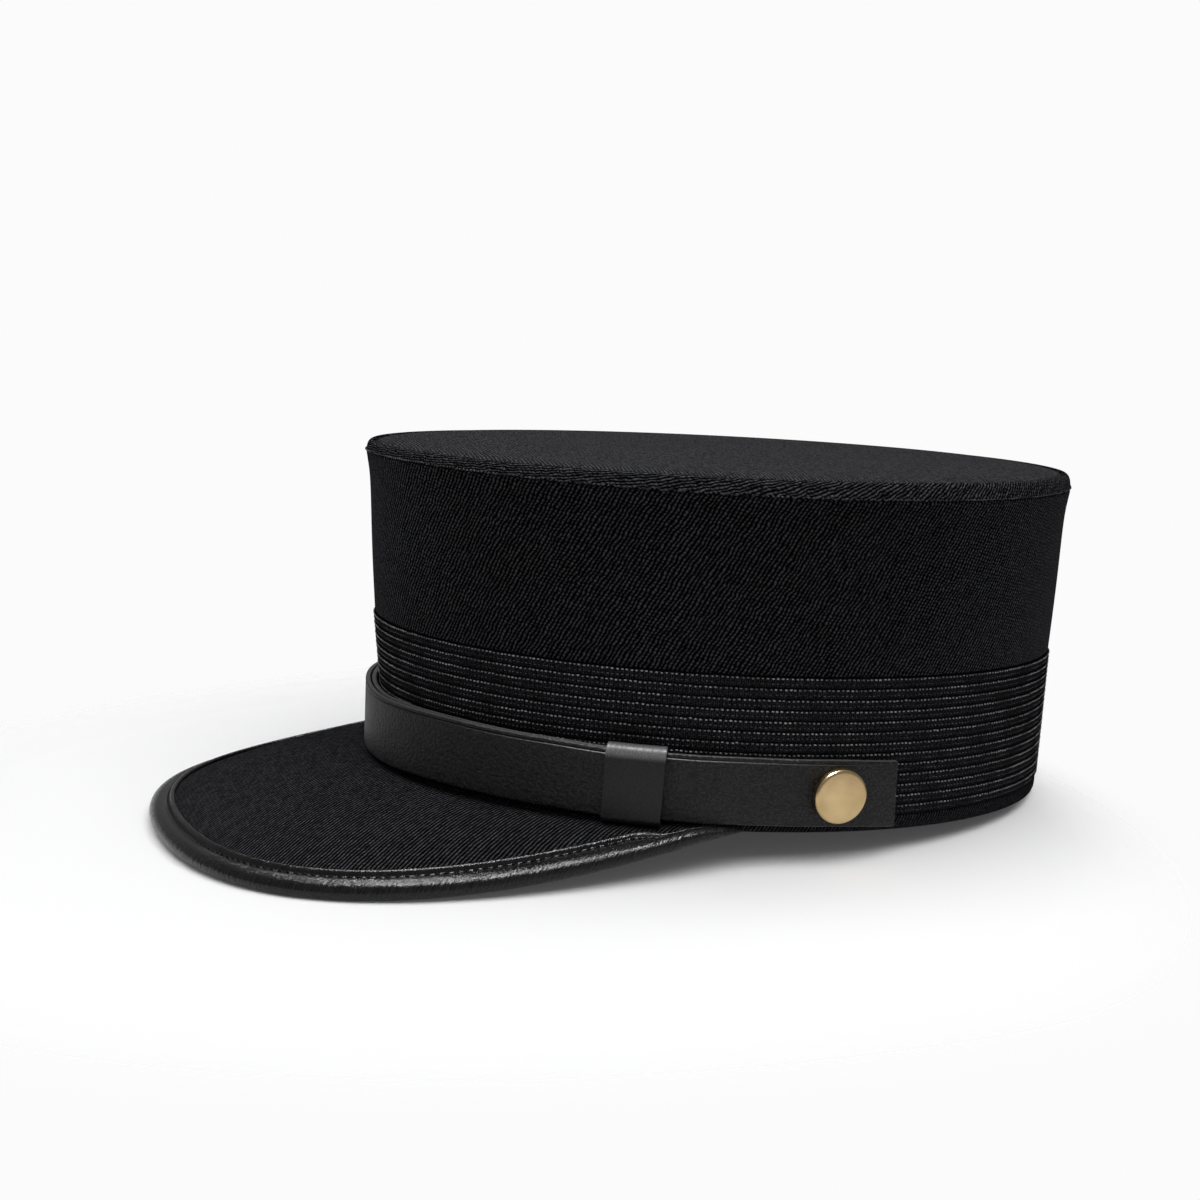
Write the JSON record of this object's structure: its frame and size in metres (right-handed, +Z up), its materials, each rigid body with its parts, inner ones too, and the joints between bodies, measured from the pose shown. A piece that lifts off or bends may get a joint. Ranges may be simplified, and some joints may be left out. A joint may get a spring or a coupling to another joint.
{
  "type": "conductor cap",
  "caption": "Stiff flat-topped twill cap with a ribbed braid band, a bound sloping peak and a leather chin strap held by brass side buttons",
  "frame": {"origin": "middle of the bounding box's base, on the surface that the cap rests on", "axes": "-Y is the front, where the peak points; +X is the wearer's left; +Z is up. The cap lies tipped back by about 4 degrees, on the peak's edge and the back of its rim."},
  "size_m": [0.1842, 0.2806, 0.1078],
  "materials": {
    "twill": "matt black wool twill with steep diagonal ribs",
    "braid": "matt black ribbed braid, sewn in level rows",
    "leather": "smooth black leather with a low sheen",
    "brass": "pale brushed brass, polished at the rounded edge"
  },
  "bodies": {
    "root": {"crown_wall": "twill", "crown_top": "twill", "top_welt": "twill", "braid_band": "braid", "rim_binding": "twill", "visor": "twill", "visor_binding": "leather", "strap_inner": "leather", "strap_outer": "leather", "keeper_left": "leather", "keeper_right": "leather", "button_left": "brass", "button_right": "brass"}
  },
  "joints": []
}
